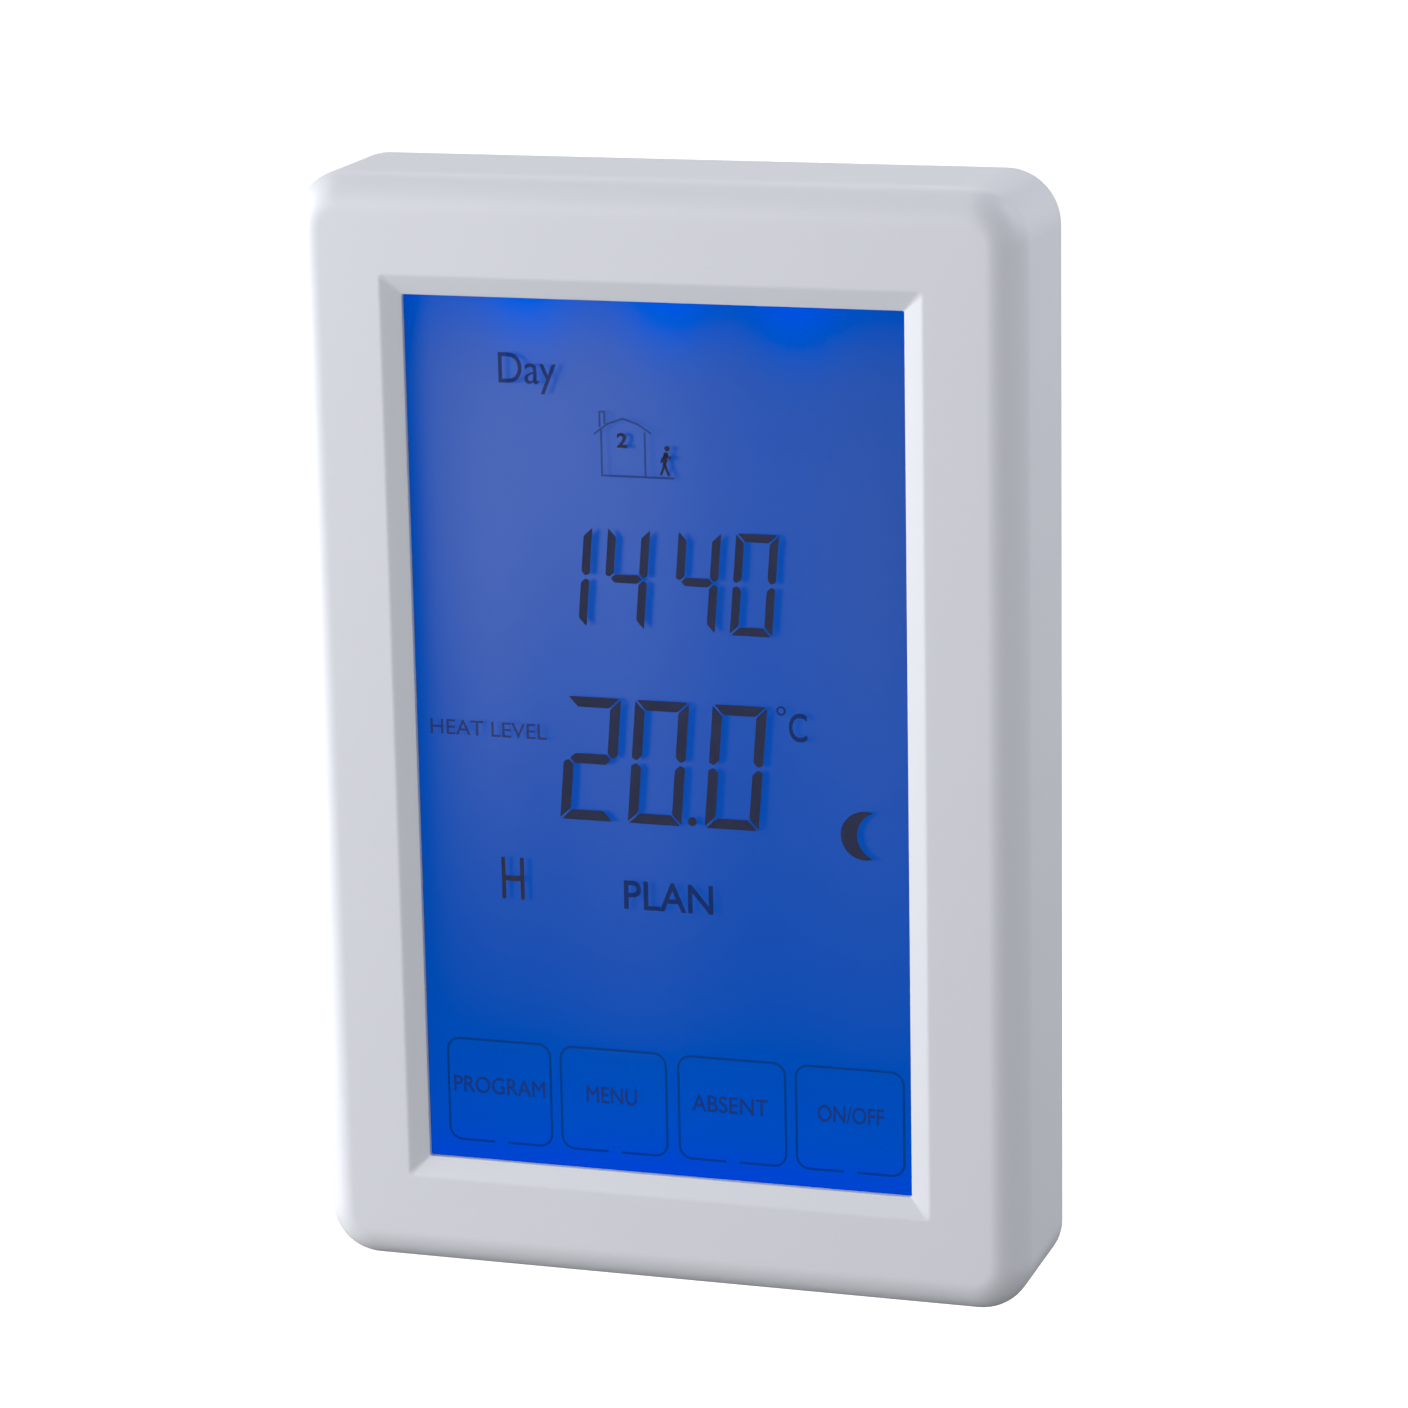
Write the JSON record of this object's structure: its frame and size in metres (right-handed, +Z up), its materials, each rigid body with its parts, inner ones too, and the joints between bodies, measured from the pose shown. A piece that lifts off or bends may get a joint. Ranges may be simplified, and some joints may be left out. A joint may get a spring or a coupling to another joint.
{
  "type": "wall thermostat",
  "caption": "Tall white touch-screen wall thermostat for floor heating, hooked over a wall base with a power housing and wire terminals behind it.",
  "frame": {"origin": "middle of the outline, on the wall plane", "axes": "+X to the viewer's right, +Y into the wall, +Z up; the display faces -Y"},
  "size_m": [0.0798, 0.043, 0.1204],
  "materials": {
    "cover_plastic": "smooth white moulding with a soft sheen",
    "base_plastic": "light grey-white moulding",
    "touch_glass": "clear touch panel over a blue display",
    "display_glass": "blue-lit liquid crystal glass",
    "light_plastic": "clear acrylic lit blue from its edges",
    "white_plastic": "plain white moulding",
    "foam": "closed-cell foam",
    "elastomer": "soft silicone",
    "circuit_board": "glass-epoxy laminate under green solder mask",
    "flex_film": "polyimide film",
    "black_plastic": "black moulding",
    "housing_plastic": "dark grey moulding",
    "relay_plastic": "blue moulding",
    "yellow_plastic": "yellow wrap and case",
    "terminal_plastic": "green moulding",
    "plated_steel": "zinc-plated steel",
    "brass": "stamped brass"
  },
  "bodies": {
    "wall_base": {"base_plate": "base_plastic", "mounting_plate": "plated_steel", "power_housing": "housing_plastic", "power_board": "circuit_board", "relay": "relay_plastic", "transformer": "yellow_plastic", "main_capacitor": "black_plastic", "film_capacitor": "yellow_plastic", "fuse": "black_plastic", "varistor": "relay_plastic", "pin_header": "black_plastic", "terminal_block": "terminal_plastic", "box_screw_upper": "plated_steel", "box_screw_lower": "plated_steel", "housing_screw_1": "plated_steel", "housing_screw_2": "plated_steel", "housing_screw_3": "plated_steel", "housing_screw_4": "plated_steel", "contact_bar_1": "brass", "contact_bar_2": "brass", "contact_bar_3": "brass", "contact_bar_4": "brass", "contact_bar_5": "brass", "contact_bar_6": "brass"},
    "front_module": {"front_cover": "cover_plastic", "touch_panel": "touch_glass", "panel_gasket": "foam", "lcd_glass": "display_glass", "light_guide": "light_plastic", "lcd_frame": "white_plastic", "contact_strip": "elastomer", "backlight_strip_top": "white_plastic", "backlight_strip_bottom": "white_plastic", "touch_flex": "flex_film", "flex_connector": "black_plastic", "display_board": "circuit_board", "microcontroller": "black_plastic", "buzzer": "black_plastic", "cell_holder": "black_plastic", "backup_cell": "plated_steel", "reset_switch": "black_plastic", "air_sensor": "black_plastic", "socket_header": "black_plastic", "board_screw_1": "plated_steel", "board_screw_2": "plated_steel", "board_screw_3": "plated_steel", "board_screw_4": "plated_steel"},
    "reset_button": {"reset_button": "white_plastic"},
    "terminal_screw_1": {"terminal_screw_1": "plated_steel"},
    "clamp_cage_1": {"clamp_cage_1": "plated_steel"},
    "terminal_screw_2": {"terminal_screw_2": "plated_steel"},
    "clamp_cage_2": {"clamp_cage_2": "plated_steel"},
    "terminal_screw_3": {"terminal_screw_3": "plated_steel"},
    "clamp_cage_3": {"clamp_cage_3": "plated_steel"},
    "terminal_screw_4": {"terminal_screw_4": "plated_steel"},
    "clamp_cage_4": {"clamp_cage_4": "plated_steel"},
    "terminal_screw_5": {"terminal_screw_5": "plated_steel"},
    "clamp_cage_5": {"clamp_cage_5": "plated_steel"},
    "terminal_screw_6": {"terminal_screw_6": "plated_steel"},
    "clamp_cage_6": {"clamp_cage_6": "plated_steel"}
  },
  "joints": [
    {"name": "front_swing", "type": "hinge", "parent": "wall_base", "child": "front_module", "pos_m": [0, 0, 0.06025], "axis": [-1, 0, 0], "range_deg": [0, 30]},
    {"name": "reset_press", "type": "slide", "parent": "front_module", "child": "reset_button", "axis": [0, -1, 0], "range_m": [0, 0.0003], "stiffness_N_per_m": 2000},
    {"name": "screw_turn_1", "type": "hinge", "parent": "wall_base", "child": "terminal_screw_1", "pos_m": [-0.01905, 0.013, -0.0278], "axis": [0, -1, 0], "range_deg": [0, 2160]},
    {"name": "cage_lift_1", "type": "slide", "parent": "wall_base", "child": "clamp_cage_1", "axis": [0, 1, 0], "range_m": [0, 0.003]},
    {"name": "screw_turn_2", "type": "hinge", "parent": "wall_base", "child": "terminal_screw_2", "pos_m": [-0.01143, 0.013, -0.0278], "axis": [0, -1, 0], "range_deg": [0, 2160]},
    {"name": "cage_lift_2", "type": "slide", "parent": "wall_base", "child": "clamp_cage_2", "axis": [0, 1, 0], "range_m": [0, 0.003]},
    {"name": "screw_turn_3", "type": "hinge", "parent": "wall_base", "child": "terminal_screw_3", "pos_m": [-0.00381, 0.013, -0.0278], "axis": [0, -1, 0], "range_deg": [0, 2160]},
    {"name": "cage_lift_3", "type": "slide", "parent": "wall_base", "child": "clamp_cage_3", "axis": [0, 1, 0], "range_m": [0, 0.003]},
    {"name": "screw_turn_4", "type": "hinge", "parent": "wall_base", "child": "terminal_screw_4", "pos_m": [0.00381, 0.013, -0.0278], "axis": [0, -1, 0], "range_deg": [0, 2160]},
    {"name": "cage_lift_4", "type": "slide", "parent": "wall_base", "child": "clamp_cage_4", "axis": [0, 1, 0], "range_m": [0, 0.003]},
    {"name": "screw_turn_5", "type": "hinge", "parent": "wall_base", "child": "terminal_screw_5", "pos_m": [0.01143, 0.013, -0.0278], "axis": [0, -1, 0], "range_deg": [0, 2160]},
    {"name": "cage_lift_5", "type": "slide", "parent": "wall_base", "child": "clamp_cage_5", "axis": [0, 1, 0], "range_m": [0, 0.003]},
    {"name": "screw_turn_6", "type": "hinge", "parent": "wall_base", "child": "terminal_screw_6", "pos_m": [0.01905, 0.013, -0.0278], "axis": [0, -1, 0], "range_deg": [0, 2160]},
    {"name": "cage_lift_6", "type": "slide", "parent": "wall_base", "child": "clamp_cage_6", "axis": [0, 1, 0], "range_m": [0, 0.003]}
  ],
  "couplings": [
    {"joint": "screw_turn_1", "follows": "cage_lift_1", "rad_per_m": 12566},
    {"joint": "screw_turn_2", "follows": "cage_lift_2", "rad_per_m": 12566},
    {"joint": "screw_turn_3", "follows": "cage_lift_3", "rad_per_m": 12566},
    {"joint": "screw_turn_4", "follows": "cage_lift_4", "rad_per_m": 12566},
    {"joint": "screw_turn_5", "follows": "cage_lift_5", "rad_per_m": 12566},
    {"joint": "screw_turn_6", "follows": "cage_lift_6", "rad_per_m": 12566}
  ]
}
